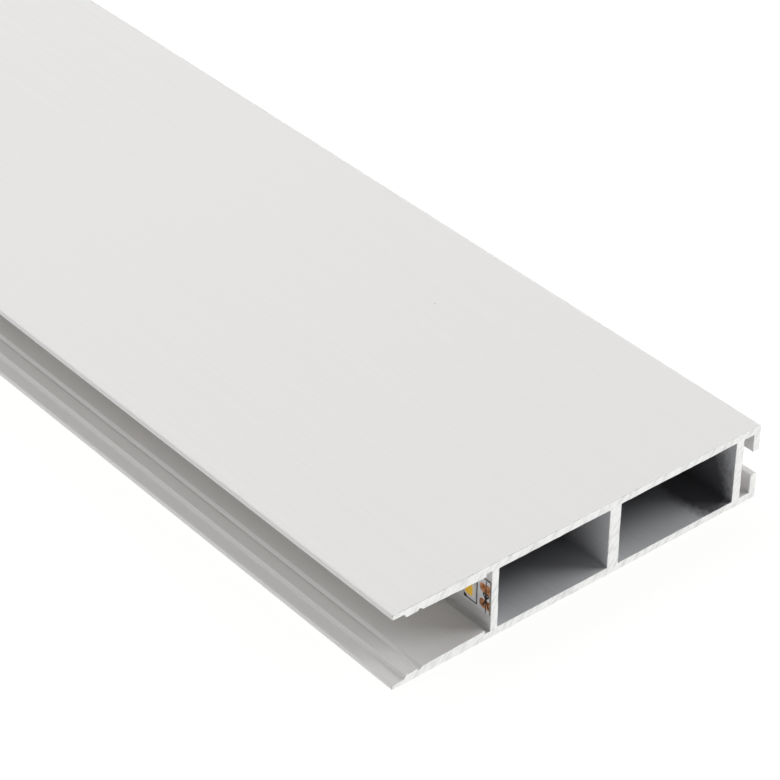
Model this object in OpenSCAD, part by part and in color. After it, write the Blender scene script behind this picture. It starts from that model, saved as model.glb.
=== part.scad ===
// Wide hollow aluminium shelf profile with a lighting channel along its front edge.
// X runs across the profile from the channel's mouth to the rear slot, Y along the bar, Z up.
// The origin is the middle of the underside. The section is the same above and below mid height.

/* [Bar] */
// Length that the bar is sold in
bar_len = 1000; // [200:50:3000]
// Overall thickness of the profile
bar_h = 18; // [14:0.5:30]

/* [Lighting channel] */
// Depth of the channel from its mouth to the front web
channel_d = 24.5; // [18:0.5:40]
// Thickness of the thin lip at the mouth
lip_t = 1.15; // [0.8:0.05:1.5]
// Depth of the thin lip
lip_w = 2.9; // [1.5:0.05:4]
// Run of the ramp from the lip up to the land
lip_ramp_w = 0.5; // [0.3:0.05:1.5]
// Thickness of the wall at the land that a cover snaps over
land_t = 2; // [1.7:0.05:2.4]
// Flat width of the land
land_w = 2.75; // [1:0.05:4]
// Thickness of the wall left over the snap notch
notch_t = 1.6; // [1.2:0.05:1.65]
// Run of the notch's steep front flank
notch_front_w = 0.4; // [0.1:0.05:0.8]
// Flat width of the notch's bottom
notch_floor_w = 0.25; // [0.1:0.05:1]
// Run of the notch's gentle back flank
notch_back_w = 0.65; // [0.3:0.05:1.5]
// Thickness of the channel's wall just behind the notch
jaw_tip_t = 2.1; // [1.7:0.05:2.6]
// Thickness of the channel's wall near the front web
jaw_root_t = 2.45; // [1.9:0.05:3]
// Width of the groove in the corner beside the front web
groove_w = 1.35; // [0.6:0.05:2.5]
// Thickness of the wall left over the corner groove
groove_t = 1.65; // [1.2:0.05:1.85]

/* [Chambers] */
// Thickness of the web that carries the light tape
front_web_t = 1.8; // [1.2:0.05:4]
// Clear width of the chamber behind the front web
front_chamber_w = 28.75; // [12:0.25:60]
// Wall above and below the front chamber
front_wall_t = 1.85; // [1.2:0.05:3]
// Thickness of the middle web
middle_web_t = 2.95; // [1.2:0.05:5]
// Clear width of the rear chamber
rear_chamber_w = 31.7; // [12:0.1:60]
// Wall above and below the rear chamber
rear_wall_t = 1.65; // [1.2:0.05:3]
// Thickness of the rear web
rear_web_t = 2.2; // [1.2:0.05:4]
// Fillet in the corners of the chambers and the slot
inner_r = 0.15; // [0.1:0.05:0.6]

/* [Rear slot] */
// Clear depth of the slot behind its hooks
slot_d = 2.75; // [2:0.05:6]
// Wall above and below the slot
slot_wall_t = 1.7; // [1.2:0.05:3]
// Width of the slot's mouth between the two hooks
slot_mouth_w = 5.9; // [3:0.1:8]
// Thickness of the hooks
hook_t = 1.8; // [1.2:0.05:3]
// Radius that eases the outer edges
edge_r = 0.3; // [0.1:0.05:0.5]

/* [Light tape] */
// Width of the flexible circuit tape
tape_w = 8; // [5:0.5:10]
// Thickness of the tape with its adhesive
tape_t = 0.3; // [0.2:0.05:0.6]
// Distance of the tape's end inside the sawn end of the bar
tape_inset = 0.2; // [0:0.1:3]
// Distance of the tape's middle above the middle of the web that it is stuck on
tape_rise = 0.4; // [-1:0.1:1]
// Distance from the tape's end to its first cut mark
first_mark = 1; // [0.5:0.05:3]
// Distance between neighbouring lamps
lamp_pitch = 8.333; // [6:0.001:20]
// Lamps between two cut marks
lamps_per_cut = 3; // [1:1:6]

/* [Lamps] */
// Length of a lamp along the tape
lamp_len = 2.8; // [2:0.1:4]
// Width of a lamp across the tape
lamp_w = 3.5; // [2:0.1:4.5]
// Height of a lamp above the tape
lamp_h = 0.75; // [0.5:0.05:1.6]
// Rim of the white housing around the phosphor
lamp_rim = 0.35; // [0.2:0.05:0.6]
// Depth of the phosphor in its housing
phosphor_d = 0.3; // [0.1:0.05:0.4]
// Distance of the phosphor's face below the rim
phosphor_sink = 0.05; // [0.02:0.01:0.09]

/* [Resistors] */
// Length of a chip resistor along the tape
resistor_len = 2; // [1:0.1:3]
// Width of a chip resistor across the tape
resistor_w = 1.25; // [0.5:0.05:2]
// Height of a chip resistor above the tape
resistor_h = 0.5; // [0.3:0.05:0.8]

/* [Hidden] */

arc_fn = 48;
// Overlap that carries a cut past the face it opens
past = 1;

// Places across the section, measured from the channel's mouth
front_chamber_x = channel_d + front_web_t;
rear_chamber_x = front_chamber_x + front_chamber_w + middle_web_t;
slot_x = rear_chamber_x + rear_chamber_w + rear_web_t;
hook_x = slot_x + slot_d;
bar_w = hook_x + hook_t;
mid_h = bar_h / 2;

// Depths from the mouth at which the channel's wall changes thickness
land_x = lip_w + lip_ramp_w;
notch_x = land_x + land_w;
notch_floor_x = notch_x + notch_front_w;
notch_back_x = notch_floor_x + notch_floor_w;
jaw_x = notch_back_x + notch_back_w;
groove_x = channel_d - groove_w;

// Wall of the channel as pairs of depth and thickness, from the mouth inwards
jaw_steps = [
    [-past, lip_t],
    [lip_w, lip_t],
    [land_x, land_t],
    [notch_x, land_t],
    [notch_floor_x, notch_t],
    [notch_back_x, notch_t],
    [jaw_x, jaw_tip_t],
    [groove_x, jaw_root_t],
    [groove_x, groove_t],
    [channel_d, groove_t]
];

// The tape is cut at the last mark that still lies inside the bar
cut_len = lamp_pitch * lamps_per_cut;
cuts = floor((bar_len - 2 * tape_inset - first_mark) / cut_len);
lamps = cuts * lamps_per_cut;
tape_len = first_mark + cuts * cut_len;
tape_start = tape_inset - bar_len / 2;
mark_start = tape_start + first_mark;
tape_x = channel_d - tape_t;
tape_mid_h = mid_h + tape_rise;
lamp_x = tape_x - lamp_h;

function lamp_y(i) = mark_start + (i + 0.5) * lamp_pitch;
// A resistor sits halfway between the last two lamps of its cut, or at the mark where there is one lamp
function resistor_y(i) = mark_start + (i + 1) * cut_len - lamp_pitch;

// Rectangle with round corners, from its low corner
module rounded_rect(size, r) {
    translate([r, 0])
        square([size[0] - 2 * r, size[1]]);
    translate([0, r])
        square([size[0], size[1] - 2 * r]);
    for (x = [r, size[0] - r], z = [r, size[1] - r])
        translate([x, z])
            circle(r, $fn = arc_fn);
}

// Sliver that rounds a sharp corner; quarter turns it to where the metal lies
module corner_sliver(at, quarter, r) {
    translate(at)
        rotate(90 * quarter)
            difference() {
                translate([-past, -past])
                    square(r + past);
                translate([r, r])
                    circle(r, $fn = arc_fn);
            }
}

// Hollow of the lighting channel, open at the mouth
module channel_hollow() {
    lower = jaw_steps;
    upper = [for (i = [len(jaw_steps) - 1 : -1 : 0]) [jaw_steps[i][0], bar_h - jaw_steps[i][1]]];
    polygon(concat(lower, upper));
}

// Closed chamber between two webs
module chamber_hollow(x, width, wall) {
    translate([x, wall])
        rounded_rect([width, bar_h - 2 * wall], inner_r);
}

// Slot with a narrow mouth between the two rear hooks
module slot_hollow() {
    chamber_hollow(slot_x, slot_d, slot_wall_t);
    translate([hook_x - inner_r, mid_h - slot_mouth_w / 2])
        square([hook_t + inner_r + past, slot_mouth_w]);
}

// Sharp corners that the die rounds: lip tips, rear edges and hook tips
module eased_corners() {
    mouth_half = slot_mouth_w / 2;
    corner_sliver([0, 0], 0, edge_r);
    corner_sliver([bar_w, 0], 1, edge_r);
    corner_sliver([bar_w, bar_h], 2, edge_r);
    corner_sliver([0, bar_h], 3, edge_r);
    corner_sliver([0, lip_t], 3, edge_r);
    corner_sliver([0, bar_h - lip_t], 0, edge_r);
    corner_sliver([bar_w, mid_h - mouth_half], 2, edge_r);
    corner_sliver([hook_x, mid_h - mouth_half], 3, edge_r);
    corner_sliver([hook_x, mid_h + mouth_half], 0, edge_r);
    corner_sliver([bar_w, mid_h + mouth_half], 1, edge_r);
}

module section() {
    difference() {
        square([bar_w, bar_h]);
        channel_hollow();
        chamber_hollow(front_chamber_x, front_chamber_w, front_wall_t);
        chamber_hollow(rear_chamber_x, rear_chamber_w, rear_wall_t);
        slot_hollow();
        eased_corners();
    }
}

// Moves a piece drawn from the channel's mouth into the part's own frame
module from_mouth() {
    translate([-bar_w / 2, 0, 0])
        children();
}

// Block on the tape's face, centred on a place along the tape and on the tape's middle
module tape_block(x, y, size) {
    translate([x, y - size[1] / 2, tape_mid_h - size[2] / 2])
        cube(size);
}

// Extruded bar, sawn square at both ends
module profile() {
    color("gainsboro")
        from_mouth()
            rotate([90, 0, 0])
                linear_extrude(height = bar_len, center = true)
                    section();
}

// Self-adhesive flexible circuit along the front web
module light_tape() {
    color("white")
        from_mouth()
            translate([tape_x, tape_start, tape_mid_h - tape_w / 2])
                cube([tape_t, tape_len, tape_w]);
}

// Block inside the rim of one lamp, from a place across the section and of a given depth
module phosphor_space(i, x, depth) {
    tape_block(x, lamp_y(i), [depth, lamp_len - 2 * lamp_rim, lamp_w - 2 * lamp_rim]);
}

// White housings, each with a shallow well for its phosphor
module lamp_housings() {
    color("whitesmoke")
        from_mouth()
            for (i = [0 : lamps - 1])
                difference() {
                    tape_block(lamp_x, lamp_y(i), [lamp_h, lamp_len, lamp_w]);
                    phosphor_space(i, lamp_x - past, phosphor_d + past);
                }
}

// Yellow phosphor cast into each housing, a little below its rim
module lamp_phosphors() {
    color("goldenrod")
        from_mouth()
            for (i = [0 : lamps - 1])
                phosphor_space(i, lamp_x + phosphor_sink, phosphor_d - phosphor_sink);
}

// One resistor for each length between two cut marks
module chip_resistors() {
    color("dimgray")
        from_mouth()
            for (i = [0 : cuts - 1])
                tape_block(tape_x - resistor_h, resistor_y(i), [resistor_h, resistor_len, resistor_w]);
}

profile();
light_tape();
lamp_housings();
lamp_phosphors();
chip_resistors();
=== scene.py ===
"""Looks of a wide hollow aluminium shelf profile with a light tape in its front channel.

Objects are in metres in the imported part's own frame: X runs across the section from the channel's mouth
to the rear slot, Y along the bar and Z up. Sizes in this file are millimetres unless a name says metres.
"""
import logging
import math
from dataclasses import dataclass
from enum import Enum, IntEnum
from typing import Any, Mapping, Sequence

import bmesh
import bpy
import numpy as np
from mathutils import Matrix, Vector
from mathutils.geometry import tessellate_polygon


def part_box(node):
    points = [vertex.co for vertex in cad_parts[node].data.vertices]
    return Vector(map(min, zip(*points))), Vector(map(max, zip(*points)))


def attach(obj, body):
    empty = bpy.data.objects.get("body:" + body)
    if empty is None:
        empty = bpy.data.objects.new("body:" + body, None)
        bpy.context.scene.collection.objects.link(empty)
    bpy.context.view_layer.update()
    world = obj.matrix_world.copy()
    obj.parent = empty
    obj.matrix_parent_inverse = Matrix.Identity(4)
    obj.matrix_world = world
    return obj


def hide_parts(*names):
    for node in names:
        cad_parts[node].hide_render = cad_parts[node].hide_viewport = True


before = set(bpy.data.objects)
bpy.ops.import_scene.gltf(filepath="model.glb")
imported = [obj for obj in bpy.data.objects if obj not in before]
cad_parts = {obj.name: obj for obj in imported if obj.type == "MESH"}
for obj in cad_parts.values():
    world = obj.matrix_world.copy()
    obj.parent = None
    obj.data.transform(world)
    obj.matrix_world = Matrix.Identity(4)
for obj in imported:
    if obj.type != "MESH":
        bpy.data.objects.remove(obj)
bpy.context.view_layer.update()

log = logging.getLogger("profile_scene")

Array = np.ndarray
# Vertices in millimetres, and blocks of faces as rows of vertex indices
Shape = tuple[Array, list[Array]]
Rgba = tuple[float, float, float, float]
Pair = tuple[float, float]
Triple = tuple[float, float, float]
Tree = bpy.types.NodeTree
Socket = bpy.types.NodeSocket

METRE_PER_MM = 0.001
BODY = "root"
# Edges that turn by more than this stay crisp, and gentler ones are shaded round
CRISP_EDGE_DEG = 35.0
# Share of a finish's unevenness that its bump shows
BUMP_STRENGTH = 0.4
# Sockets of a Mix node that mixes colours: its factor, the colours at zero and one, and its result
MIX_FACTOR, MIX_ZERO, MIX_ONE, MIX_RESULT = 0, 6, 7, 2


# Small tools


def linear(hex_code: str) -> Rgba:
    """Turns an sRGB hex colour into linear light: a straight toe below 0.04045, a 2.4 power above it.

    Args:
        hex_code: Six hex digits, red, green and blue.

    Returns:
        Linear red, green, blue and an alpha of one.
    """
    srgb = np.array([int(hex_code[i : i + 2], 16) for i in (0, 2, 4)]) / 255.0
    light = np.where(srgb <= 0.04045, srgb / 12.92, ((srgb + 0.055) / 1.055) ** 2.4)
    return (float(light[0]), float(light[1]), float(light[2]), 1.0)


def add_node(
    tree: Tree,
    kind: str,
    inputs: Mapping[str | int, Any] | None = None,
    out: str | int = 0,
    **settings: Any,
) -> Socket | None:
    """Adds a node, applies its settings, and sets or links its inputs.

    Args:
        tree: Node tree that takes the node.
        kind: Blender's type name of the node.
        inputs: Socket name or index to a value, or to the output that feeds it.
        out: Name or index of the output that is wanted.
        **settings: Attributes of the node.

    Returns:
        The wanted output, or nothing for a node without outputs.
    """
    node = tree.nodes.new(kind)
    for name, value in settings.items():
        setattr(node, name, value)
    for socket, value in (inputs or {}).items():
        if isinstance(value, bpy.types.NodeSocket):
            tree.links.new(value, node.inputs[socket])
        else:
            node.inputs[socket].default_value = value
    return node.outputs[out] if node.outputs else None


def uneven(
    tree: Tree,
    place: Socket,
    size_mm: Triple,
    detail: float = 2.0,
    span: Pair = (0.3, 0.7),
) -> Socket:
    """Uneven pattern: noise with blotches of a real size, and a span of it stretched from zero to one.

    Args:
        tree: Node tree of the material.
        place: Output that gives the place on the object, in metres.
        size_mm: Size of the blotches along X, Y and Z.
        detail: Finer layers that are added to the noise.
        span: Noise values that become zero and one.

    Returns:
        Output that runs from zero to one.
    """
    scale = tuple(1.0 / (size * METRE_PER_MM) for size in size_mm)
    mapped = add_node(tree, "ShaderNodeMapping", {"Vector": place, "Scale": scale})
    noise = add_node(tree, "ShaderNodeTexNoise", {"Vector": mapped, "Scale": 1.0, "Detail": detail})
    stretch = {"Value": noise, "From Min": span[0], "From Max": span[1]}
    return add_node(tree, "ShaderNodeMapRange", stretch)


def add_piece(
    name: str,
    shape: Shape,
    materials: Sequence[bpy.types.Material],
    slots: Sequence[int] = (),
) -> bpy.types.Object:
    """Makes a mesh object at the origin, with its place in its mesh and its faces turned outwards.

    Args:
        name: Name of the object.
        shape: Vertices in millimetres, and blocks of faces.
        materials: Materials of the object's slots.
        slots: Slot of each face, or nothing where all use the first one.

    Returns:
        The new object, riding on the part's body.
    """
    points_mm, blocks = shape
    faces = [face for block in blocks for face in block.tolist()]
    mesh = bpy.data.meshes.new(name)
    mesh.from_pydata((points_mm * METRE_PER_MM).tolist(), [], faces)
    for material in materials:
        mesh.materials.append(material)
    if len(slots):
        mesh.polygons.foreach_set("material_index", np.asarray(slots, dtype=np.int32))
    turned = bmesh.new()
    turned.from_mesh(mesh)
    bmesh.ops.recalc_face_normals(turned, faces=turned.faces)
    turned.to_mesh(mesh)
    turned.free()
    mesh.polygons.foreach_set("use_smooth", np.ones(len(mesh.polygons), dtype=bool))
    mesh.set_sharp_from_angle(angle=math.radians(CRISP_EDGE_DEG))
    piece = bpy.data.objects.new(name, mesh)
    bpy.context.scene.collection.objects.link(piece)
    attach(piece, BODY)
    return piece


# Outlines and lofts


def rounded_outline(corners: Array, radii: Array, steps: int) -> Array:
    """Rounds each corner of a closed outline with an arc that touches both of its sides.

    With a and b the unit vectors from a corner to its neighbours and t the angle between them, the
    arc's centre lies along a + b at r / sin(t / 2), and the arc turns evenly from one touching point
    to the other.

    Args:
        corners: Corner points, one row each.
        radii: Arc radius at each corner.
        steps: Straight pieces in each arc.

    Returns:
        Points of the rounded outline, in the corners' order.
    """
    to_last = np.roll(corners, 1, axis=0) - corners
    to_next = np.roll(corners, -1, axis=0) - corners
    a = to_last / np.linalg.norm(to_last, axis=1, keepdims=True)
    b = to_next / np.linalg.norm(to_next, axis=1, keepdims=True)
    half = np.arccos(np.clip((a * b).sum(axis=1), -1.0, 1.0)) / 2.0
    middle = (a + b) / np.linalg.norm(a + b, axis=1, keepdims=True)
    centre = corners + middle * (radii / np.sin(half))[:, None]
    touch = (radii / np.tan(half))[:, None]
    first = corners + a * touch - centre
    last = corners + b * touch - centre
    sweep = (math.pi - 2.0 * half)[:, None]
    turn = np.linspace(0.0, 1.0, steps + 1)[None, :]
    share_first = (np.sin((1.0 - turn) * sweep) / np.sin(sweep))[..., None]
    share_last = (np.sin(turn * sweep) / np.sin(sweep))[..., None]
    arcs = centre[:, None] + share_first * first[:, None] + share_last * last[:, None]
    return arcs.reshape(-1, 2)


def refined(outline: Array, spacing: float) -> Array:
    """Adds points at even distances along a closed outline, so that no gap is much wider than asked.

    Args:
        outline: Points of the closed outline.
        spacing: Distance between the added points.

    Returns:
        The outline's own points with the added ones between them.
    """
    closed = np.vstack([outline, outline[:1]])
    along = np.concatenate([[0.0], np.cumsum(np.linalg.norm(np.diff(closed, axis=0), axis=1))])
    # An added point that falls close to one of the outline's own is left out
    extra = np.arange(spacing / 2.0, along[-1], spacing)
    clear = np.abs(extra[:, None] - along[None, :]).min(axis=1) > spacing / 3.0
    stops = np.sort(np.concatenate([along[:-1], extra[clear]]))
    return np.stack([np.interp(stops, along, closed[:, k]) for k in range(2)], axis=1)


def outline_normals(outline: Array) -> Array:
    """Unit vectors to the right of a closed outline, each halfway between those of its two sides.

    Args:
        outline: Points of the closed outline.

    Returns:
        One unit vector for each point.
    """
    ahead = np.roll(outline, -1, axis=0) - outline
    ahead /= np.linalg.norm(ahead, axis=1, keepdims=True)
    both = ahead + np.roll(ahead, 1, axis=0)
    both /= np.linalg.norm(both, axis=1, keepdims=True)
    return np.stack([both[:, 1], -both[:, 0]], axis=1)


def rounded_rectangle(length: float, width: float, radius: float, steps: int) -> Array:
    """Outline of a rectangle with round corners about the origin.

    Args:
        length: Size along the first axis.
        width: Size along the second axis.
        radius: Corner radius.
        steps: Straight pieces in each corner.

    Returns:
        Points in turning order.
    """
    signs = np.array([[-1, -1], [1, -1], [1, 1], [-1, 1]], dtype=float)
    corners = signs * np.array([length, width]) / 2.0
    return rounded_outline(corners, np.full(4, radius), steps)


def at_height(outline: Array, height: float) -> Array:
    """Flat outline as a ring of points at one height above the tape."""
    return np.column_stack([outline, np.full(len(outline), height)])


def band_faces(rings: int, points: int, start: int = 0) -> Array:
    """Quads between neighbouring rings of a loft, each ring closed on itself.

    Args:
        rings: Number of rings.
        points: Points in each ring.
        start: Index of the first ring's first point.

    Returns:
        Rows of four vertex indices.
    """
    ring, point = np.meshgrid(np.arange(rings - 1), np.arange(points), indexing="ij")
    here = start + ring * points + point
    beside = start + ring * points + (point + 1) % points
    return np.stack([here, beside, beside + points, here + points], axis=-1).reshape(-1, 4)


def loft_copies(rings: Array) -> Shape:
    """Closed lofts through stacks of rings, with a flat face on the first and the last ring of each.

    Args:
        rings: Points indexed by copy, ring, point and axis.

    Returns:
        All points as rows, and two blocks of faces: all sides, then all first and all last ends.
    """
    copies, count, points, _ = rings.shape
    base = np.arange(copies)[:, None, None] * (count * points)
    sides = (base + band_faces(count, points)[None]).reshape(-1, 4)
    first = base[:, 0] + np.arange(points)[None, :]
    ends = np.concatenate([first, first + (count - 1) * points])
    return rings.reshape(-1, 3), [sides, ends]


def merged(shapes: Sequence[Shape]) -> Shape:
    """Joins several shapes into one.

    Args:
        shapes: Points and faces of each shape.

    Returns:
        All points, and all blocks of faces with their indices moved on.
    """
    starts = np.cumsum([0] + [len(points) for points, _ in shapes])
    blocks = [block + start for (_, group), start in zip(shapes, starts) for block in group]
    return np.vstack([points for points, _ in shapes]), blocks


def stroke_rings(strokes: Array, width: float, height: float) -> Array:
    """Thin raised bars along straight strokes: each stroke widened to both sides and lifted to a height.

    Args:
        strokes: Start and end of each stroke, indexed by stroke, end and axis.
        width: Width of the bars.
        height: Height of the bars.

    Returns:
        Points indexed by stroke, lower or upper ring, corner, and axis.
    """
    start, end = strokes[:, 0], strokes[:, 1]
    way = (end - start) / np.linalg.norm(end - start, axis=1, keepdims=True)
    side = np.stack([-way[:, 1], way[:, 0]], axis=1) * width / 2.0
    corners = np.stack([start - side, end - side, end + side, start + side], axis=1)
    level = np.zeros(corners.shape[:2] + (1,))
    lower = np.concatenate([corners, level], axis=2)
    upper = np.concatenate([corners, level + height], axis=2)
    return np.stack([lower, upper], axis=1)


# Finishes


@dataclass(frozen=True)
class Finish:
    """A surface finish that becomes one material.

    Attributes:
        name: Name of the material, after what the real one is.
        colour: Main colour as sRGB hex.
        shade: Second colour, which the pattern drifts to.
        roughness: Spread of the reflections.
        metallic: How far the surface mirrors as metal does.
        coat: Weight of a clear layer on top.
        glow: Strength of the light that the surface gives off by itself.
        glow_colour: Colour of that light, or nothing where it is the main colour.
        depth_mm: Height of the surface's unevenness.
        swing: How far the pattern moves the roughness to each side.
    """

    name: str
    colour: str
    shade: str
    roughness: float
    metallic: float = 0.0
    coat: float = 0.0
    glow: float = 0.0
    glow_colour: str = ""
    depth_mm: float = 0.01
    swing: float = 0.05

    def pattern(self, tree: Tree, place: Socket) -> dict[str, Socket]:
        """Shader inputs that the finish's pattern drives; the plain finish drives none."""
        return {}

    def drift(self, tree: Tree, factor: Socket, height: Socket) -> dict[str, Socket]:
        """Lets one pattern mix the two colours and the roughness, and another raise the surface.

        Args:
            tree: Node tree of the material.
            factor: Pattern that runs from zero, the shade, to one, the main colour.
            height: Pattern that raises the surface.

        Returns:
            Outputs for the shader's colour, roughness and normal.
        """
        rough, smooth = self.roughness + self.swing, self.roughness - self.swing
        colours = {MIX_FACTOR: factor, MIX_ZERO: linear(self.shade), MIX_ONE: linear(self.colour)}
        spread = {"Value": factor, "To Min": rough, "To Max": smooth}
        lift = {"Strength": BUMP_STRENGTH, "Distance": self.depth_mm * METRE_PER_MM, "Height": height}
        return {
            "Base Color": add_node(tree, "ShaderNodeMix", colours, out=MIX_RESULT, data_type="RGBA"),
            "Roughness": add_node(tree, "ShaderNodeMapRange", spread),
            "Normal": add_node(tree, "ShaderNodeBump", lift),
        }

    def material(self) -> bpy.types.Material:
        """Builds the material with its main values set and its pattern linked.

        Returns:
            The new material.
        """
        made = bpy.data.materials.new(self.name)
        made.use_nodes = True
        tree = made.node_tree
        tree.nodes.clear()
        inputs: dict[str, Any] = {
            "Base Color": linear(self.colour),
            "Roughness": self.roughness,
            "Metallic": self.metallic,
            "Coat Weight": self.coat,
            "Emission Color": linear(self.glow_colour or self.colour),
            "Emission Strength": self.glow,
        }
        inputs.update(self.pattern(tree, add_node(tree, "ShaderNodeTexCoord", out="Object")))
        surface = add_node(tree, "ShaderNodeBsdfPrincipled", inputs)
        add_node(tree, "ShaderNodeOutputMaterial", {"Surface": surface})
        return made


@dataclass(frozen=True)
class ExtrudedSkin(Finish):
    """Skin of an extruded bar: faint die lines along it, a fine etched grain and perhaps a darker spot.

    Attributes:
        die_line_mm: Width of the lines that the die leaves along the bar.
        die_run_mm: Length of one die line.
        grain_mm: Size of the etched grain, drawn coarser than the real hundredths so that it shows.
        spot_mm: Middle of the darker spot, or nothing where the skin has none.
        spot_r_mm: Reach of the spot along its own axes.
        spot_turn_deg: Turn of the spot about the upright axis.
        spot_colour: Colour at the spot's middle.
        spot_core: Share of the reach at which the spot starts to fade.
        ragged: How far the spot's edge wanders, as a share of its reach.
        ragged_mm: Size of that wandering.
    """

    swing: float = 0.01
    die_line_mm: float = 0.5
    die_run_mm: float = 180.0
    grain_mm: float = 0.22
    spot_mm: Triple | None = None
    spot_r_mm: Triple = (0.2, 0.2, 0.2)
    spot_turn_deg: float = 0.0
    spot_colour: str = "9b9a98"
    spot_core: float = 0.5
    ragged: float = 0.0
    ragged_mm: float = 1.6

    def skin(self, tree: Tree, place: Socket) -> dict[str, Socket]:
        """Die lines drift the colour and roughness, and the grain raises the surface.

        Args:
            tree: Node tree of the material.
            place: Output that gives the place on the object, in metres.

        Returns:
            Outputs for the shader's inputs.
        """
        lines = uneven(tree, place, (self.die_line_mm, self.die_run_mm, self.die_line_mm))
        grain = uneven(tree, place, (self.grain_mm,) * 3)
        return self.drift(tree, lines, grain)

    def pattern(self, tree: Tree, place: Socket) -> dict[str, Socket]:
        """The skin with its spot: a darker ellipsoid, whose edge wanders because noise is added to it.

        Args:
            tree: Node tree of the material.
            place: Output that gives the place on the object, in metres.

        Returns:
            Outputs for the shader's inputs.
        """
        driven = self.skin(tree, place)
        if self.spot_mm:
            spot = {
                "Vector": place,
                "Location": tuple(value * METRE_PER_MM for value in self.spot_mm),
                "Rotation": (0.0, 0.0, math.radians(self.spot_turn_deg)),
                "Scale": tuple(value * METRE_PER_MM for value in self.spot_r_mm),
            }
            local = add_node(tree, "ShaderNodeMapping", spot, vector_type="TEXTURE")
            away = add_node(tree, "ShaderNodeVectorMath", {0: local}, out="Value", operation="LENGTH")
            noise = uneven(tree, place, (self.ragged_mm,) * 3)
            wander = {0: noise, 1: self.ragged, 2: away}
            edge = add_node(tree, "ShaderNodeMath", wander, operation="MULTIPLY_ADD")
            clear = add_node(tree, "ShaderNodeMapRange", {"Value": edge, "From Min": self.spot_core})
            colours = {
                MIX_FACTOR: clear,
                MIX_ZERO: linear(self.spot_colour),
                MIX_ONE: driven["Base Color"],
            }
            mixed = add_node(tree, "ShaderNodeMix", colours, out=MIX_RESULT, data_type="RGBA")
            driven["Base Color"] = mixed
        return driven


@dataclass(frozen=True)
class ChamberSkin(ExtrudedSkin):
    """Skin inside a closed chamber: pale at the sawn ends, and darkened farther in by painted shade.

    Attributes:
        deep_colour: Colour of the painted shade deep inside the chamber.
        reach_mm: Depth over which the pale skin fades into the painted shade.
        end_mm: Distance from the middle of the bar to a sawn end.
    """

    deep_colour: str = "828386"
    reach_mm: float = 14.0
    end_mm: float = 500.0

    def skin(self, tree: Tree, place: Socket) -> dict[str, Socket]:
        """The extruded skin, faded to the painted shade colour with the distance from the nearer end.

        Args:
            tree: Node tree of the material.
            place: Output that gives the place on the object, in metres.

        Returns:
            Outputs for the shader's inputs.
        """
        driven = super().skin(tree, place)
        along = add_node(tree, "ShaderNodeSeparateXYZ", {"Vector": place}, out="Y")
        middle = add_node(tree, "ShaderNodeMath", {0: along}, operation="ABSOLUTE")
        end, inner = self.end_mm * METRE_PER_MM, (self.end_mm - self.reach_mm) * METRE_PER_MM
        fade = {"Value": middle, "From Min": inner, "From Max": end}
        # Painted shade: the colour darkens with depth into the chamber, where less light reaches.
        pale = add_node(tree, "ShaderNodeMapRange", fade)
        colours = {MIX_FACTOR: pale, MIX_ZERO: linear(self.deep_colour), MIX_ONE: driven["Base Color"]}
        mixed = add_node(tree, "ShaderNodeMix", colours, out=MIX_RESULT, data_type="RGBA")
        driven["Base Color"] = mixed
        return driven


@dataclass(frozen=True)
class SawnMetal(Finish):
    """Metal cut by a circular saw: bright, with soft streaks and a few dull ticks along the sweep.

    Attributes:
        lean_deg: Lean of the sweep from the level, as seen on the near end.
        streak_mm: Length and width of the soft streaks.
        streak_span: Noise values between which a streak fades.
        tick_mm: Length and width of the dull ticks.
        tick_span: Noise values between which a tick fades.
    """

    swing: float = 0.06
    lean_deg: float = 52.0
    streak_mm: Pair = (3.6, 0.9)
    streak_span: Pair = (0.2, 0.55)
    tick_mm: Pair = (1.1, 0.22)
    tick_span: Pair = (0.27, 0.4)

    def pattern(self, tree: Tree, place: Socket) -> dict[str, Socket]:
        """Two stretched noises, turned to the sweep, mark the colour, roughness and height.

        Args:
            tree: Node tree of the material.
            place: Output that gives the place on the object, in metres.

        Returns:
            Outputs for the shader's inputs.
        """
        turn = (0.0, math.radians(self.lean_deg), 0.0)
        swept = add_node(tree, "ShaderNodeMapping", {"Vector": place, "Rotation": turn})
        long, wide = self.streak_mm
        streaks = uneven(tree, swept, (long, long, wide), span=self.streak_span)
        long, wide = self.tick_mm
        ticks = uneven(tree, swept, (long, long, wide), span=self.tick_span)
        both = add_node(tree, "ShaderNodeMath", {0: streaks, 1: ticks}, operation="MULTIPLY")
        return self.drift(tree, both, streaks)


@dataclass(frozen=True)
class Mottled(Finish):
    """A finish that drifts a little from place to place, as cast, coated, printed or fired ones do.

    Attributes:
        blotch_mm: Size of the drift's blotches.
        detail: Finer layers of the drift.
    """

    blotch_mm: float = 1.0
    detail: float = 3.0

    def pattern(self, tree: Tree, place: Socket) -> dict[str, Socket]:
        """One noise pattern drifts the colour, roughness and height.

        Args:
            tree: Node tree of the material.
            place: Output that gives the place on the object, in metres.

        Returns:
            Outputs for the shader's inputs.
        """
        blotch = uneven(tree, place, (self.blotch_mm,) * 3, self.detail)
        return self.drift(tree, blotch, blotch)


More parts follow.
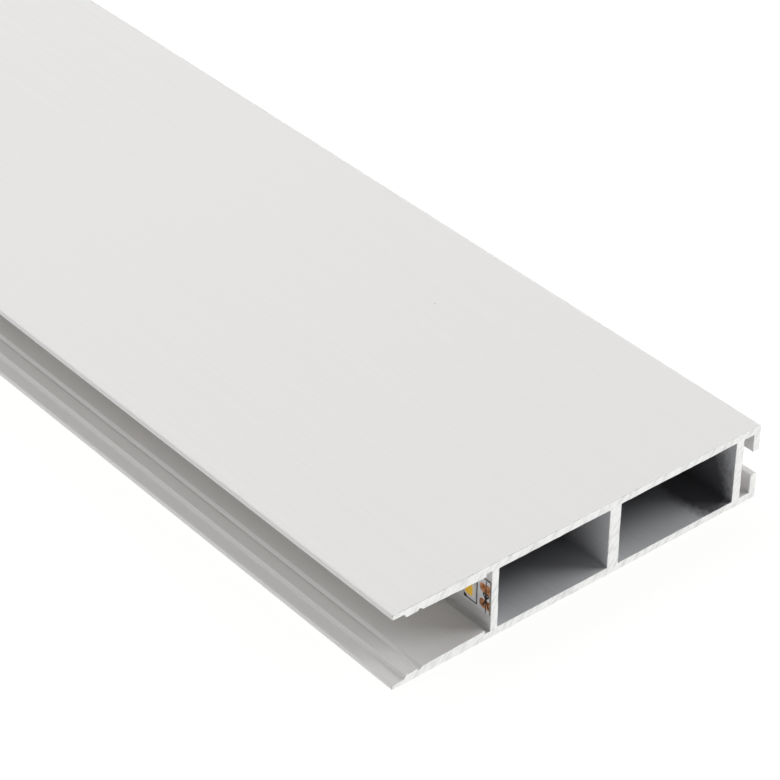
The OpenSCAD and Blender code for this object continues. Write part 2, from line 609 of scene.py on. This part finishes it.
class Finishes(Enum):
    """The finishes of this part, and of the floor that it lies on."""

    # A deep etch before anodising makes the outside matt: an even, warm pale grey that mirrors hardly
    # anything. One speck of dirt lies on the top.
    SKIN = ExtrudedSkin(
        "matt_anodised_aluminium", "dcdbda", "dad9d8", 0.68, metallic=0.13, depth_mm=0.004,
        spot_mm=(25.65, -424.63, 18.0),
    )
    # Inside the chambers the mill finish darkens to a cooler grey with depth from the sawn ends: painted
    # shade where little light reaches.
    FRONT_CHAMBER = ChamberSkin(
        "mill_finish_aluminium", "dcdddf", "d6d7d9", 0.5, metallic=0.15, depth_mm=0.004
    )
    # The rear chamber has the same painted depth shade, and a ragged darker patch by the foot of its
    # right wall.
    REAR_CHAMBER = ChamberSkin(
        "dark_patched_mill_finish_aluminium", "dcdddf", "d6d7d9", 0.5, metallic=0.15, depth_mm=0.004,
        spot_mm=(42.0, -480.0, 1.65), spot_r_mm=(8.4, 28.0, 20.4), spot_turn_deg=-13.0,
        spot_colour="66666a", spot_core=0.75, ragged=0.08, ragged_mm=1.0,
    )
    # The saw leaves clean bright metal with streaks along its sweep.
    SAWN = SawnMetal("sawn_aluminium", "f4f4f3", "dbdcdc", 0.5, metallic=1.0, depth_mm=0.02)
    # The burr along the cut is torn metal, and its darker grey is painted shade along the sawn edges.
    BURR = Mottled("burr_aluminium_with_painted_edge_shade", "dededd", "b8b9b9", 0.6, metallic=0.7, blotch_mm=0.8)
    # White solder mask over the tape's film is smooth and slightly glossy, and looks a little blue.
    MASK = Mottled("white_solder_mask", "e9e9eb", "dddde1", 0.4, coat=0.15, blotch_mm=1.6)
    # The tape was cut with a knife, so its edge shows brown polyimide and dark glue.
    TAPE_EDGE = Mottled("cut_polyimide_and_glue", "8f857b", "6b625a", 0.7, blotch_mm=0.6)
    # Moulded white polyamide has a dull sheen.
    HOUSING = Mottled("moulded_white_polyamide", "f0efea", "e4e2da", 0.45, blotch_mm=0.6)
    # Silicone filled with phosphor powder is a dense yellow with a wet face. Its faint glow is painted
    # light that makes the unlit lamp look brighter than the white mask.
    PHOSPHOR = Mottled(
        "phosphor_filled_silicone", "fccb3c", "f2bb30", 0.35, coat=0.3, glow=0.12, blotch_mm=0.3
    )
    # Bare copper that has been handled is orange with browner patches, and its tarnish dulls the mirror.
    COPPER = Mottled(
        "tarnished_bare_copper", "f0ab78", "94501f", 0.45, metallic=0.45, blotch_mm=0.9, swing=0.1
    )
    # Screen-printed black ink is flat and a little thin in places.
    INK = Mottled("screen_printed_black_ink", "1d1c1c", "3a3532", 0.6, blotch_mm=0.3)
    # Reflowed solder is a soft silver.
    TIN = Mottled("reflowed_solder", "cfd0d1", "adafb1", 0.3, metallic=1.0, blotch_mm=0.4)
    # Fired black glaze over a resistor chip is smooth and dark.
    GLAZE = Mottled("fired_black_glaze", "16171a", "25272b", 0.3, coat=0.3, blotch_mm=0.4)
    # The floor gives off most of its own light, as a light table does, so shadows hardly show.
    FLOOR = Finish("pale_light_table", "4c4c4c", "4c4c4c", 0.9, glow=0.95, glow_colour="fdfdfc")

    def material(self) -> bpy.types.Material:
        """The finish's material, made on its first use."""
        return bpy.data.materials.get(self.value.name) or self.value.material()


# The extruded bar


class BarSlot(IntEnum):
    """Material slots of the bar."""

    SKIN = 0
    FRONT_CHAMBER = 1
    REAR_CHAMBER = 2
    SAWN = 3
    BURR = 4


@dataclass
class ProfileBar:
    """The extruded bar: one section carried along the length, with a torn edge round both sawn ends.

    Depths across the section are measured from the channel's mouth, heights from the underside. The
    torn edge is about burr_w wide, and drifts from that by up to burr_drift over runs of burr_run.
    """

    width: float
    height: float
    length: float
    channel_d: float = 24.5
    lip_t: float = 1.15
    lip_w: float = 2.9
    lip_ramp_w: float = 0.5
    land_t: float = 2.0
    land_w: float = 2.75
    notch_t: float = 1.6
    notch_front_w: float = 0.4
    notch_floor_w: float = 0.25
    notch_back_w: float = 0.65
    jaw_tip_t: float = 2.1
    jaw_root_t: float = 2.45
    groove_w: float = 1.35
    groove_t: float = 1.65
    front_web_t: float = 1.8
    front_chamber_w: float = 28.75
    front_wall_t: float = 1.85
    middle_web_t: float = 2.95
    rear_chamber_w: float = 31.7
    rear_wall_t: float = 1.65
    rear_web_t: float = 2.2
    slot_d: float = 2.75
    slot_wall_t: float = 1.7
    slot_mouth_w: float = 5.9
    inner_r: float = 0.15
    edge_r: float = 0.3
    step_r: float = 0.08
    arc_steps: int = 4
    point_spacing: float = 0.6
    burr_w: float = 0.07
    burr_drift: float = 0.05
    burr_run: float = 1.4
    burr_min_knots: int = 4
    seed: int = 11

    @property
    def front_chamber_x(self) -> float:
        """Depth at which the front chamber starts."""
        return self.channel_d + self.front_web_t

    @property
    def rear_chamber_x(self) -> float:
        """Depth at which the rear chamber starts."""
        return self.front_chamber_x + self.front_chamber_w + self.middle_web_t

    def lower_corners(self) -> tuple[Array, Array]:
        """Corners of the outer outline's lower half, from the front web round the lip to the rear slot.

        Returns:
            Corner points, and the radius at each.
        """
        land_x = self.lip_w + self.lip_ramp_w
        notch_x = land_x + self.land_w
        floor_x = notch_x + self.notch_front_w
        back_x = floor_x + self.notch_floor_w
        jaw_x = back_x + self.notch_back_w
        groove_x = self.channel_d - self.groove_w
        slot_x = self.rear_chamber_x + self.rear_chamber_w + self.rear_web_t
        hook_x = slot_x + self.slot_d
        hook_z = (self.height - self.slot_mouth_w) / 2.0
        steps = [
            (self.channel_d, self.groove_t),
            (groove_x, self.groove_t),
            (groove_x, self.jaw_root_t),
            (jaw_x, self.jaw_tip_t),
            (back_x, self.notch_t),
            (floor_x, self.notch_t),
            (notch_x, self.land_t),
            (land_x, self.land_t),
            (self.lip_w, self.lip_t),
        ]
        eased = [
            (0.0, self.lip_t),
            (0.0, 0.0),
            (self.width, 0.0),
            (self.width, hook_z),
            (hook_x, hook_z),
        ]
        slot = [(hook_x, self.slot_wall_t), (slot_x, self.slot_wall_t)]
        radii = [self.step_r] * len(steps) + [self.edge_r] * len(eased) + [self.inner_r] * len(slot)
        return np.array(steps + eased + slot), np.array(radii)

    def outer_outline(self) -> Array:
        """Outer outline, whose upper half mirrors the lower one about mid height.

        Returns:
            Points in turning order, with the metal on the left.
        """
        lower, radii = self.lower_corners()
        upper = lower[::-1] * np.array([1.0, -1.0]) + np.array([0.0, self.height])
        both_radii = np.concatenate([radii, radii[::-1]])
        outline = rounded_outline(np.vstack([lower, upper]), both_radii, self.arc_steps)
        return refined(outline, self.point_spacing)

    def chamber_outline(self, start: float, width: float, wall: float) -> Array:
        """Outline of a closed chamber, turned so that the metal is on the left.

        Args:
            start: Depth at which the chamber starts.
            width: Clear width.
            wall: Wall above and below it.

        Returns:
            Points in turning order.
        """
        outline = rounded_rectangle(width, self.height - 2.0 * wall, self.inner_r, self.arc_steps)
        placed = outline + np.array([start + width / 2.0, self.height / 2.0])
        return refined(placed[::-1], self.point_spacing)

    def burr_widths(self, outline: Array, draw: np.random.Generator) -> Array:
        """Width of the torn edge along an outline: an even width with a smooth random drift.

        Args:
            outline: Points of the closed outline.
            draw: Source of random numbers.

        Returns:
            Width at each point, as a column.
        """
        steps = np.linalg.norm(np.roll(outline, -1, axis=0) - outline, axis=1)
        along = np.cumsum(steps) - steps
        knots = max(self.burr_min_knots, int(steps.sum() / self.burr_run))
        places = np.arange(knots) * steps.sum() / knots
        drift = np.interp(along, places, draw.uniform(-1.0, 1.0, knots), period=steps.sum())
        return (self.burr_w + self.burr_drift * drift)[:, None]

    def rings(self, outline: Array, draw: np.random.Generator) -> Array:
        """Four rings along the bar: at each end the outline drawn in by the burr, then the full outline.

        Args:
            outline: Points of the closed outline, with the metal on the left.
            draw: Source of random numbers.

        Returns:
            Points indexed by ring, point and axis, in the part's frame.
        """
        near, far = self.burr_widths(outline, draw), self.burr_widths(outline, draw)
        zero, half = np.zeros_like(near), self.length / 2.0
        inset = np.stack([near, zero, zero, far])
        y = np.stack([zero - half, near - half, half - far, zero + half])
        flat = outline[None] - outline_normals(outline)[None] * inset
        return np.concatenate([flat[..., :1] - self.width / 2.0, y, flat[..., 1:]], axis=-1)

    @staticmethod
    def end_faces(points: Array, loops: Sequence[Array]) -> Array:
        """Triangles that fill one sawn end inside its outer loop and outside its chamber loops.

        Args:
            points: All points of the bar.
            loops: Vertex indices of the outer loop and of each chamber's loop.

        Returns:
            Rows of three vertex indices.
        """
        flat = [points[loop][:, [0, 2]].tolist() for loop in loops]
        return np.concatenate(loops)[np.array(tessellate_polygon(flat))]

    def build(self) -> list[bpy.types.Object]:
        """Builds the bar's mesh and dresses it.

        Returns:
            The bar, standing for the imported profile.
        """
        draw = np.random.default_rng(self.seed)
        outlines = {
            BarSlot.SKIN: self.outer_outline(),
            BarSlot.FRONT_CHAMBER: self.chamber_outline(
                self.front_chamber_x, self.front_chamber_w, self.front_wall_t
            ),
            BarSlot.REAR_CHAMBER: self.chamber_outline(
                self.rear_chamber_x, self.rear_chamber_w, self.rear_wall_t
            ),
        }
        points = np.empty((0, 3))
        blocks: list[Array] = []
        slots: list[int] = []
        near_loops: list[Array] = []
        far_loops: list[Array] = []
        for slot, outline in outlines.items():
            rings = self.rings(outline, draw)
            start, count = len(points), len(outline)
            blocks.append(band_faces(len(rings), count, start))
            slots += [BarSlot.BURR] * count + [slot] * count + [BarSlot.BURR] * count
            near_loops.append(start + np.arange(count))
            far_loops.append(near_loops[-1] + (len(rings) - 1) * count)
            points = np.vstack([points, rings.reshape(-1, 3)])
        for loops in (near_loops, far_loops):
            blocks.append(self.end_faces(points, loops))
            slots += [BarSlot.SAWN] * len(blocks[-1])
        materials = [Finishes[slot.name].material() for slot in BarSlot]
        bar = add_piece("profile_bar", (points, blocks), materials, slots)
        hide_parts("profile")
        return [bar]


# The light tape and what is soldered on it


@dataclass
class TapeFace:
    """The tape's front face as a flat drawing: s along the bar, q across the tape, h out of its face."""

    face_x: float
    start_y: float
    end_y: float
    mid_z: float
    width: float
    thickness: float
    first_mark: float = 1.0
    lamp_pitch: float = 8.333
    lamps_per_cut: int = 3

    @classmethod
    def of_node(cls, node: str) -> "TapeFace":
        """Reads the face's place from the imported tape.

        Args:
            node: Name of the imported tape.

        Returns:
            The tape's face.
        """
        low, high = (np.array(corner) / METRE_PER_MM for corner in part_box(node))
        size = high - low
        return cls(
            face_x=low[0],
            start_y=low[1],
            end_y=high[1],
            mid_z=low[2] + size[2] / 2.0,
            width=size[2],
            thickness=size[0],
        )

    @property
    def marks(self) -> Array:
        """Places of the cut marks: one after every few lamps, from the first to the tape's far end.

        Returns:
            Places along the bar.
        """
        first = self.start_y + self.first_mark
        cut = self.lamp_pitch * self.lamps_per_cut
        return first + cut * np.arange(1 + round((self.end_y - first) / cut))

    @property
    def lamps(self) -> Array:
        """Places of the lamps along the bar."""
        count = (len(self.marks) - 1) * self.lamps_per_cut
        return self.marks[0] + self.lamp_pitch * (np.arange(count) + 0.5)

    @property
    def resistors(self) -> Array:
        """Places of the resistors along the bar, halfway between the last two lamps of each cut."""
        return self.marks[1:] - self.lamp_pitch

    def copies(self, drawn: Array, places: Array) -> Array:
        """Sets copies of drawn points on the face, each about its own place, cut off at the tape's ends.

        Args:
            drawn: Points whose last axis is s, q and h.
            places: Place of each copy along the bar.

        Returns:
            Points in the part's frame, with the copies as a new first axis.
        """
        s = drawn[None, ..., 0] + places.reshape((-1,) + (1,) * (drawn.ndim - 1))
        q = np.broadcast_to(drawn[None, ..., 1], s.shape)
        h = np.broadcast_to(drawn[None, ..., 2], s.shape)
        return np.stack([self.face_x - h, np.clip(s, self.start_y, self.end_y), self.mid_z + q], axis=-1)


class TapeSlot(IntEnum):
    """Material slots of the tape."""

    TAPE_EDGE = 0
    MASK = 1


@dataclass
class LightTape:
    """The printed film: bare copper pads at each cut mark, and black print for lamps and cuts."""

    face: TapeFace
    pad_len: float = 3.75
    pad_w: float = 2.15
    pad_q: float = 1.88
    pad_h: float = 0.035
    pad_r: float = 1.0
    pad_edge: float = 0.06
    pad_steps: int = 5
    ink_w: float = 0.26
    shears_w: float = 0.36
    cut_line_w: float = 0.2
    ink_h: float = 0.02
    outline_len: float = 3.6
    outline_shift: float = 0.25
    outline_w: float = 6.5
    corner_mark: float = 1.05
    margin: float = 0.1
    shears_ring_s: float = 0.36
    shears_ring_q: float = 0.42
    shears_ring_r: float = 0.38
    shears_pivot_q: float = -0.8
    shears_tip_s: float = 0.85
    shears_tip_q: float = -2.3
    shears_steps: int = 8

    def build_film(self) -> bpy.types.Object:
        """White film: a flat bar whose front face has the mask and whose edges show the cut.

        Returns:
            The film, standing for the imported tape.
        """
        half = self.face.width / 2.0
        s, q = np.array([self.face.start_y, self.face.end_y]), np.array([-half, half])
        corners = np.column_stack([s[[0, 1, 1, 0]], q[[0, 0, 1, 1]]])
        rings = np.stack([at_height(corners, -self.face.thickness), at_height(corners, 0.0)])
        points, blocks = loft_copies(self.face.copies(rings, np.zeros(1)))
        # The last face is the front one
        slots = [TapeSlot.TAPE_EDGE] * (sum(map(len, blocks)) - 1) + [TapeSlot.MASK]
        materials = [Finishes[slot.name].material() for slot in TapeSlot]
        film = add_piece("tape_film", (points, blocks), materials, slots)
        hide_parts("light_tape")
        return film

    def build_pads(self) -> bpy.types.Object:
        """Raised oval pads, two at each cut mark, cut off where the tape ends.

        Returns:
            The pads of the whole tape.
        """
        length, width, edge = self.pad_len, self.pad_w, self.pad_edge
        low = rounded_rectangle(length, width, self.pad_r, self.pad_steps)
        high = rounded_rectangle(length - 2 * edge, width - 2 * edge, self.pad_r - edge, self.pad_steps)
        one = np.stack([at_height(low, 0.0), at_height(high, self.pad_h)])
        rows = [one + np.array([0.0, side * self.pad_q, 0.0]) for side in (-1.0, 1.0)]
        copies = np.concatenate([self.face.copies(row, self.face.marks) for row in rows])
        return add_piece("copper_pads", loft_copies(copies), [Finishes.COPPER.material()])

    def shears_strokes(self) -> Array:
        """Strokes of the small open shears printed on a cut mark: two round handles and crossed blades.

        Returns:
            Strokes indexed by stroke, end and axis.
        """
        sides = np.array([-1.0, 1.0])
        pivot = np.tile([0.0, self.shears_pivot_q], (2, 1))
        tips = np.column_stack([sides * self.shears_tip_s, np.full(2, self.shears_tip_q)])
        centres = np.column_stack([sides * self.shears_ring_s, np.full(2, self.shears_ring_q)])
        necks = centres - np.array([0.0, self.shears_ring_r])
        blades = np.stack([np.vstack([necks, tips]), np.vstack([pivot, pivot])], axis=1)
        turn = np.linspace(0.0, 2.0 * math.pi, self.shears_steps + 1)
        circle = np.stack([np.cos(turn), np.sin(turn)], axis=1) * self.shears_ring_r
        handles = centres[:, None] + circle[None]
        rings = np.stack([handles[:, :-1], handles[:, 1:]], axis=2).reshape(-1, 2, 2)
        return np.concatenate([blades, rings])

    def frame_strokes(self) -> Array:
        """Strokes of the frame printed round a lamp.

        Returns:
            Strokes indexed by stroke, end and axis.
        """
        s, q = self.outline_len / 2.0, self.outline_w / 2.0
        corners = np.array([(-s, -q), (s, -q), (s, q), (-s, q)])
        return np.stack([corners, np.roll(corners, -1, axis=0)], axis=1)

    def build_print(self) -> bpy.types.Object:
        """Black print of the whole tape: cut lines, shears, lamp frames and each lamp's marked corner.

        Returns:
            The print.
        """
        face, lift = self.face, np.array([0.0, 0.0, self.pad_h])
        reach = face.width / 2.0 - self.margin
        line = np.array([[(0.0, -reach), (0.0, reach)]])
        s, q, leg = self.outline_len / 2.0, self.outline_w / 2.0, self.corner_mark
        corner = np.array([(s, -q), (s, -q + leg), (s - leg, -q)])
        frames = face.lamps + self.outline_shift
        shears = stroke_rings(self.shears_strokes(), self.shears_w, self.ink_h) + lift
        groups = [
            face.copies(stroke_rings(line, self.cut_line_w, self.ink_h) + lift, face.marks),
            face.copies(shears, face.marks[:-1]),
            face.copies(stroke_rings(self.frame_strokes(), self.ink_w, self.ink_h), frames),
            face.copies(np.stack([at_height(corner, 0.0), at_height(corner, self.ink_h)]), frames),
        ]
        shapes = [loft_copies(group.reshape((-1,) + group.shape[-3:])) for group in groups]
        return add_piece("tape_print", merged(shapes), [Finishes.INK.material()])

    def build(self) -> list[bpy.types.Object]:
        """Builds the film with its pads and print."""
        return [self.build_film(), self.build_pads(), self.build_print()]


@dataclass
class LampRow:
    """The lamps: white housings with a sloped well, phosphor in it, and soldered ends."""

    face: TapeFace
    length: float = 2.8
    width: float = 3.5
    height: float = 0.75
    draft: float = 0.05
    corner_r: float = 0.25
    edge: float = 0.05
    rim: float = 0.28
    window_r: float = 0.6
    well_slope: float = 0.1
    well_d: float = 0.3
    fill_d: float = 0.05
    sag: float = 0.03
    sag_w: float = 0.25
    deep_sag: float = 0.042
    deep_sag_w: float = 0.6
    solder_len: float = 1.9
    solder_reach: float = 0.35
    solder_h: float = 0.32
    solder_sunk: float = 0.1
    # The fillet's hollow curve, as shares of its reach and of its height
    solder_curve: tuple[Pair, ...] = ((1.0, 0.0), (0.8, 0.15), (0.35, 0.45), (0.1, 1.0))
    steps: int = 2

    def ring(self, shrink: float, height: float, radius: float) -> Array:
        """Ring of the housing, drawn in on all sides by an amount, at a height above the tape.

        Args:
            shrink: Distance drawn in from the housing's foot.
            height: Height above the tape.
            radius: Corner radius.

        Returns:
            Points of the ring.
        """
        length, width = self.length - 2 * shrink, self.width - 2 * shrink
        return at_height(rounded_rectangle(length, width, radius, self.steps), height)

    def build_housings(self) -> bpy.types.Object:
        """White housings: a drafted block with a broken edge and a well whose walls slope inwards.

        Returns:
            The housings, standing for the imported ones.
        """
        rings = np.stack(
            [
                self.ring(0.0, 0.0, self.corner_r),
                self.ring(self.draft, self.height - self.edge, self.corner_r),
                self.ring(self.draft + self.edge, self.height, self.corner_r),
                self.ring(self.rim, self.height, self.window_r),
                self.ring(self.rim + self.well_slope, self.height - self.well_d, self.window_r),
            ]
        )
        shape = loft_copies(self.face.copies(rings, self.face.lamps))
        housings = add_piece("lamp_housing_row", shape, [Finishes.HOUSING.material()])
        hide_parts("lamp_housings")
        return housings

    def build_fills(self) -> bpy.types.Object:
        """Phosphor fills: they climb a little up the well's wall and sag towards the middle.

        Returns:
            The fills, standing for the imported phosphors.
        """
        level = self.height - self.fill_d
        wall = self.rim + self.well_slope * self.fill_d / self.well_d
        rings = np.stack(
            [
                self.ring(self.rim + self.well_slope, self.height - self.well_d, self.window_r),
                self.ring(wall, level, self.window_r),
                self.ring(wall + self.sag_w, level - self.sag, self.window_r),
                self.ring(wall + self.deep_sag_w, level - self.deep_sag, self.window_r / 2.0),
            ]
        )
        shape = loft_copies(self.face.copies(rings, self.face.lamps))
        fills = add_piece("lamp_phosphor_row", shape, [Finishes.PHOSPHOR.material()])
        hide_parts("lamp_phosphors")
        return fills

    def build_solder(self) -> bpy.types.Object:
        """Solder at both ends of each lamp: a hollow fillet that climbs the housing, carried along it.

        Returns:
            The solder of the whole tape.
        """
        foot, sunk = np.array([self.width / 2.0, 0.0]), -self.solder_sunk
        curve = np.array(self.solder_curve) * np.array([self.solder_reach, self.solder_h])
        profile = foot + np.vstack([(sunk, 0.0), curve, (sunk, self.solder_h)])
        places = [np.full(len(profile), side * self.solder_len / 2.0) for side in (-1.0, 1.0)]
        one = np.stack([np.column_stack([place, profile]) for place in places])
        both = [one, one * np.array([1.0, -1.0, 1.0])]
        copies = np.concatenate([self.face.copies(side, self.face.lamps) for side in both])
        return add_piece("lamp_solder", loft_copies(copies), [Finishes.TIN.material()])

    def build(self) -> list[bpy.types.Object]:
        """Builds the lamps of the whole tape."""
        return [self.build_housings(), self.build_fills(), self.build_solder()]


@dataclass
class ResistorRow:
    """The chip resistors: a glazed block between two tinned ends with a little solder at their feet."""

    face: TapeFace
    length: float = 2.0
    width: float = 1.25
    height: float = 0.5
    end_len: float = 0.38
    end_proud: float = 0.02
    edge: float = 0.05
    solder: float = 0.25
    solder_w: float = 1.05
    steps: int = 1

    def block(self, start: float, end: float, proud: float) -> Array:
        """Rings of a block with a broken upper edge.

        Args:
            start: Where the block starts along the tape.
            end: Where it ends.
            proud: How far it stands out from the glazed chip.

        Returns:
            Points indexed by ring, point and axis.
        """
        length, width = end - start, self.width + 2 * (proud - self.end_proud)
        height = self.height + proud - self.end_proud
        foot = rounded_rectangle(length, width, self.edge, self.steps)
        length, width = length - 2 * self.edge, width - 2 * self.edge
        top = rounded_rectangle(length, width, self.edge / 2.0, self.steps)
        rings = [at_height(foot, 0.0), at_height(foot, height - self.edge), at_height(top, height)]
        return np.stack(rings) + np.array([(start + end) / 2.0, 0.0, 0.0])

    def build(self) -> list[bpy.types.Object]:
        """Builds the resistors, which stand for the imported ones.

        Returns:
            The glazed bodies and the tinned ends.
        """
        face, half = self.face, self.length / 2.0
        inner, climb = half - self.end_len, self.height / 2.0
        shape = loft_copies(face.copies(self.block(-inner, inner, 0.0), face.resistors))
        bodies = add_piece("resistor_bodies", shape, [Finishes.GLAZE.material()])
        reach, lip = half + self.solder, half + self.edge
        profile = np.array([(half, 0.0), (reach, 0.0), (lip, climb), (half, climb)])
        sides = [np.full(len(profile), side * self.solder_w / 2.0) for side in (-1.0, 1.0)]
        fillet = np.stack([np.column_stack([profile[:, 0], q, profile[:, 1]]) for q in sides])
        tinned = [
            self.block(inner, half, self.end_proud),
            self.block(-half, -inner, self.end_proud),
            fillet,
            fillet * np.array([-1.0, 1.0, 1.0]),
        ]
        shape = merged([loft_copies(face.copies(rings, face.resistors)) for rings in tinned])
        ends = add_piece("resistor_ends", shape, [Finishes.TIN.material()])
        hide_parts("chip_resistors")
        return [bodies, ends]


# The studio


def facing(target: Vector, azimuth_deg: float, elevation_deg: float, distance_m: float) -> Matrix:
    """Place of a camera or light that looks at a target from a distance in some direction.

    Args:
        target: Point that is looked at, in metres.
        azimuth_deg: Turn of the direction from -Y towards +X.
        elevation_deg: Lift of the direction above the floor.
        distance_m: Distance from the target.

    Returns:
        The place, turned so that the target lies along its -Z axis.
    """
    azimuth, elevation = math.radians(azimuth_deg), math.radians(elevation_deg)
    level = math.cos(elevation)
    away = Vector((math.sin(azimuth) * level, -math.cos(azimuth) * level, math.sin(elevation)))
    turn = (-away).to_track_quat("-Z", "Y").to_matrix().to_4x4()
    return Matrix.Translation(target + away * distance_m) @ turn


@dataclass
class PhotoCamera:
    """Camera at the photograph's viewing angle, aimed at a point on the bar's top face."""

    azimuth_deg: float = -39.83
    elevation_deg: float = 34.99
    roll_deg: float = 0.58
    distance: float = 597.7
    aim_from_mouth: float = 45.9
    aim_from_end: float = 56.4
    lens_mm: float = 134.8
    sensor_mm: float = 36.0
    clip_start_m: float = 0.01

    def build(self, bar: ProfileBar) -> bpy.types.Object:
        """Sets the camera up and makes it the scene's own.

        Args:
            bar: The bar whose top face is aimed at.

        Returns:
            The camera.
        """
        x, y = self.aim_from_mouth - bar.width / 2.0, self.aim_from_end - bar.length / 2.0
        aim = Vector((x, y, bar.height)) * METRE_PER_MM
        data = bpy.data.cameras.new("photo_camera")
        data.lens = self.lens_mm
        data.sensor_width = self.sensor_mm
        data.clip_start = self.clip_start_m
        camera = bpy.data.objects.new("photo_camera", data)
        place = facing(aim, self.azimuth_deg, self.elevation_deg, self.distance * METRE_PER_MM)
        camera.matrix_world = place @ Matrix.Rotation(math.radians(self.roll_deg), 4, "Z")
        bpy.context.scene.collection.objects.link(camera)
        bpy.context.scene.camera = camera
        return camera


@dataclass(frozen=True)
class Softbox:
    """A square area light that faces the near end of the bar and doesn't show itself."""

    name: str
    azimuth_deg: float
    elevation_deg: float
    watts: float
    size_m: float = 1.4
    distance_m: float = 3.2
    aim_m: Triple = (0.0, -0.4, 0.0)

    def build(self) -> bpy.types.Object:
        """Adds the light.

        Returns:
            The light's object.
        """
        data = bpy.data.lights.new(self.name, "AREA")
        data.shape = "SQUARE"
        data.size = self.size_m
        data.energy = self.watts
        light = bpy.data.objects.new(self.name, data)
        aim = Vector(self.aim_m)
        light.matrix_world = facing(aim, self.azimuth_deg, self.elevation_deg, self.distance_m)
        light.visible_camera = False
        bpy.context.scene.collection.objects.link(light)
        return light


@dataclass
class Studio:
    """Pale floor, dim even surroundings and soft lights."""

    floor_size_m: float = 60.0
    floor_drop_m: float = 0.0002
    sky_colour: str = "fbfbfa"
    sky_strength: float = 0.14
    bounces: int = 24
    lights: tuple[Softbox, ...] = (
        Softbox("end_softbox", azimuth_deg=60.0, elevation_deg=35.0, watts=44.0),
        Softbox("side_softbox", azimuth_deg=90.0, elevation_deg=15.0, watts=39.0),
        Softbox("back_softbox", azimuth_deg=150.0, elevation_deg=50.0, watts=30.0),
        Softbox("mouth_softbox", azimuth_deg=-150.0, elevation_deg=40.0, watts=79.0, size_m=3.0),
    )

    def build_floor(self) -> bpy.types.Object:
        """Wide pale floor just below the bar.

        Returns:
            The floor, marked as stage.
        """
        half = self.floor_size_m / 2.0
        corners = [(-half, -half), (half, -half), (half, half), (-half, half)]
        mesh = bpy.data.meshes.new("studio_floor")
        mesh.from_pydata([(x, y, -self.floor_drop_m) for x, y in corners], [], [(0, 1, 2, 3)])
        mesh.materials.append(Finishes.FLOOR.material())
        floor = bpy.data.objects.new("studio_floor", mesh)
        bpy.context.scene.collection.objects.link(floor)
        return floor

    def build(self) -> None:
        """Sets up the floor, surroundings, lights, colours and enough bounces for the deep channel."""
        scene = bpy.context.scene
        self.build_floor()
        world = bpy.data.worlds.new("dim_surroundings")
        world.use_nodes = True
        sky = world.node_tree.nodes["Background"]
        sky.inputs["Color"].default_value = linear(self.sky_colour)
        sky.inputs["Strength"].default_value = self.sky_strength
        scene.world = world
        for light in self.lights:
            light.build()
        scene.view_settings.view_transform = "Standard"
        scene.cycles.max_bounces = self.bounces
        scene.cycles.glossy_bounces = self.bounces
        scene.cycles.diffuse_bounces = self.bounces


def main() -> None:
    """Builds the camera, the studio and each sub-assembly in order, and reports each piece."""
    logging.basicConfig(level=logging.INFO, format="%(name)s: %(message)s")
    low, high = (np.array(corner) / METRE_PER_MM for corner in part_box("profile"))
    width, length, height = high - low
    bar = ProfileBar(width=width, height=height, length=length)
    face = TapeFace.of_node("light_tape")
    PhotoCamera().build(bar)
    Studio().build()
    for assembly in (bar, LightTape(face), LampRow(face), ResistorRow(face)):
        for piece in assembly.build():
            log.info("%s: %d faces on %s", piece.name, len(piece.data.polygons), BODY)


if __name__ == "__main__":
    main()
